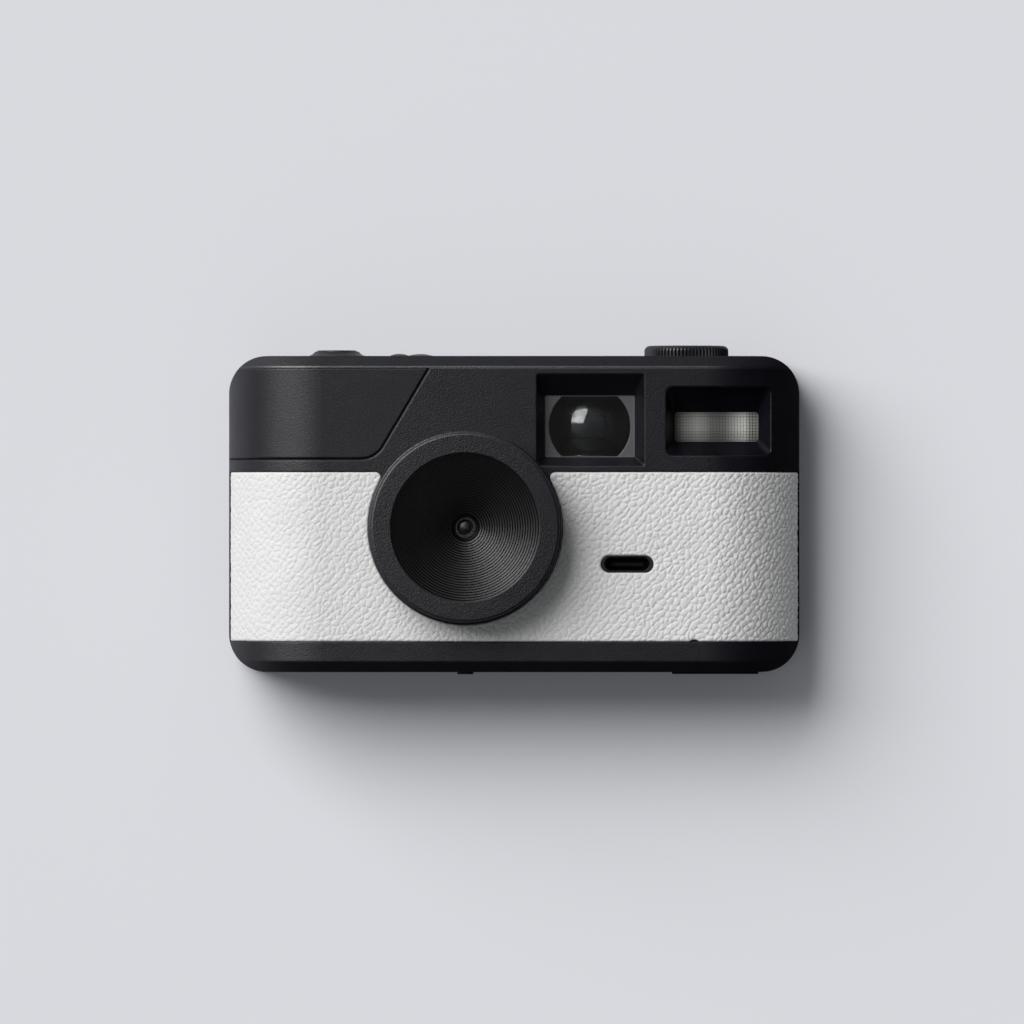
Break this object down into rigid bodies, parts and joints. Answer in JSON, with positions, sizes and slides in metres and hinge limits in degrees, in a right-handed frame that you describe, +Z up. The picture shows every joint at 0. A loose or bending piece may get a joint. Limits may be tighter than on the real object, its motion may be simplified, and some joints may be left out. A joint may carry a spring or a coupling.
{
  "type": "digital camera",
  "caption": "Small point-and-shoot digital camera with no screen: optical viewfinder, flash, ribbed lens ring, shutter button, mode dial and pebbled white leatherette on a black body.",
  "frame": {"origin": "on the standing plane, under the middle of the whole camera", "axes": "+Z up, front and lens face -Y, +X to the right as seen from the front"},
  "size_m": [0.117, 0.035, 0.0672],
  "materials": {
    "body_black": "fine satin moulded texture",
    "panel_black": "fine matt moulded texture",
    "leather_white": "pebbled leatherette, satin",
    "ring_black": "smooth satin",
    "cone_black": "matt with fine ridges",
    "button_black": "satin",
    "glass": "clear polished",
    "flash_clear": "ribbed clear plastic",
    "mirror": "bright metallised",
    "steel": "plated",
    "trim_dark": "moulded",
    "board_green": "solder mask",
    "flex_amber": "polyimide film",
    "cell_silver": "foil pouch",
    "can_blue": "sleeved can",
    "brass": "turned",
    "foot_black": "matt",
    "lamp_green": "diffusing"
  },
  "bodies": {
    "root": {"front_cover": "body_black", "rear_cover": "body_black", "shutter_collar": "body_black", "eyepiece_frame": "body_black", "grip_panel": "panel_black", "leather_wrap": "leather_white", "lens_ring": "ring_black", "lens_retainer": "ring_black", "baffle_cone": "cone_black", "lens_barrel": "cone_black", "lens_holder": "cone_black", "lens_spacer": "cone_black", "aperture_stop": "cone_black", "viewfinder_tunnel": "cone_black", "front_lens": "glass", "middle_lens": "glass", "rear_lens": "glass", "infrared_filter": "glass", "viewfinder_front_lens": "glass", "viewfinder_rear_lens": "glass", "flash_tube": "glass", "flash_window": "flash_clear", "flash_reflector": "mirror", "shutter_spring": "steel", "door_pin": "steel", "case_screws": "steel", "board_screws": "steel", "usb_socket": "steel", "card_socket": "steel", "usb_trim": "trim_dark", "memory_card": "trim_dark", "image_sensor": "trim_dark", "image_processor": "trim_dark", "shutter_switch": "trim_dark", "power_switch": "trim_dark", "flash_switch": "trim_dark", "dial_encoder": "trim_dark", "main_board": "board_green", "sensor_board": "board_green", "button_board": "board_green", "flash_board": "board_green", "usb_board": "board_green", "sensor_flex": "flex_amber", "battery": "cell_silver", "flash_capacitor": "can_blue", "tripod_bush": "brass", "base_feet": "foot_black", "status_light": "lamp_green"},
    "shutter": {"shutter_button": "button_black"},
    "power_key": {"power_button": "button_black"},
    "flash_key": {"flash_button": "button_black"},
    "dial": {"mode_dial": "button_black", "dial_shaft": "steel", "dial_clip": "steel"},
    "door": {"card_door": "body_black", "door_latch": "steel"}
  },
  "joints": [
    {"name": "shutter_press", "type": "slide", "parent": "root", "child": "shutter", "axis": [0, 0, -1], "range_m": [0, 0.0008], "stiffness_N_per_m": 300, "springref_m": -0.0005, "deforming": ["shutter_spring"]},
    {"name": "power_press", "type": "slide", "parent": "root", "child": "power_key", "axis": [0, 0, -1], "range_m": [0, 0.0004], "stiffness_N_per_m": 400, "springref_m": -0.0003},
    {"name": "flash_press", "type": "slide", "parent": "root", "child": "flash_key", "axis": [0, 0, -1], "range_m": [0, 0.0004], "stiffness_N_per_m": 400, "springref_m": -0.0003},
    {"name": "dial_turn", "type": "hinge", "parent": "root", "child": "dial", "pos_m": [0.0353, 0.0025, 0.0651], "axis": [0, 0, 1], "continuous": true},
    {"name": "card_door_swing", "type": "hinge", "parent": "root", "child": "door", "pos_m": [0.0412, 0.01035, 0.00135], "axis": [1, 0, 0], "range_deg": [0, 90]}
  ]
}
